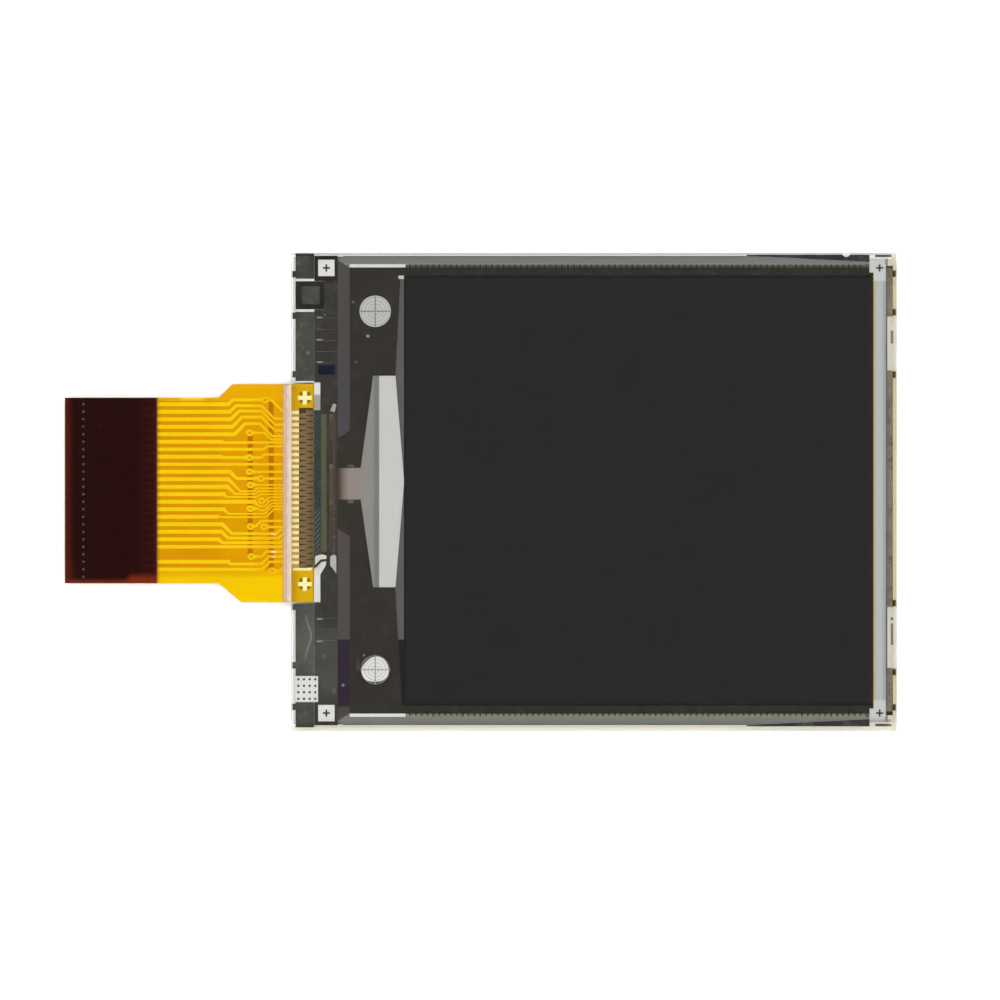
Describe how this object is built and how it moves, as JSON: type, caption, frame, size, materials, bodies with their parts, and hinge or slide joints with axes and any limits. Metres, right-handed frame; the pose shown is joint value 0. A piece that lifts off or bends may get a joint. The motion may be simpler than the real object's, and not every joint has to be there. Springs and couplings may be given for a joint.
{
  "type": "e-paper display module",
  "caption": "Small bare e-paper panel: back glass with metal patterns, bonded driver die, laminated ink film and a flat amber tail with a stiffened plug-in end.",
  "frame": {"origin": "on the viewing face, under the middle of the glass and on the centre line of the tail", "axes": "+X along the panel away from the tail, +Y across the panel, +Z out of the back of the glass"},
  "size_m": [0.0555, 0.0318, 0.001],
  "materials": {
    "clear_glass": "polished",
    "field_metal": "satin",
    "dark_metal": "satin",
    "grey_metal": "satin",
    "riser_metal": "satin",
    "fan_metal": "satin",
    "ring_metal": "satin",
    "blue_black_metal": "satin",
    "bronze_metal": "satin",
    "silver_paste": "matte",
    "ink_film": "matte",
    "white_sealant": "satin",
    "clear_sheet": "gloss",
    "silicon": "polished",
    "gold": "satin",
    "olive_film": "satin",
    "amber_film": "gloss",
    "trace_copper": "satin",
    "pale_gold": "satin",
    "dark_copper": "satin",
    "amber_cover": "gloss",
    "brown_stiffener": "gloss",
    "bronze_film": "satin",
    "clear_bead": "gloss"
  },
  "bodies": {
    "root": {"backplane_glass": "clear_glass", "pixel_array": "field_metal", "common_electrode": "dark_metal", "row_lines": "grey_metal", "row_risers": "riser_metal", "column_fanout": "fan_metal", "ground_ring": "ring_metal", "ledge_pads": "dark_metal", "process_pads": "blue_black_metal", "bond_pads": "bronze_metal", "register_marks": "dark_metal", "contact_rings": "fan_metal", "silver_dots": "silver_paste", "ink_film": "ink_film", "edge_seal": "white_sealant", "protective_sheet": "clear_sheet", "ledge_sealant": "white_sealant", "driver_chip": "silicon", "chip_bumps": "gold", "chip_bond_film": "olive_film", "flex_base": "amber_film", "flex_vias": "gold", "flex_traces": "trace_copper", "flex_bond_fingers": "pale_gold", "flex_crossovers": "dark_copper", "flex_contacts": "gold", "flex_top_cover": "amber_cover", "flex_bottom_cover": "amber_film", "flex_stiffener": "brown_stiffener", "flex_bond_film": "bronze_film", "edge_bead": "clear_bead"}
  },
  "joints": []
}
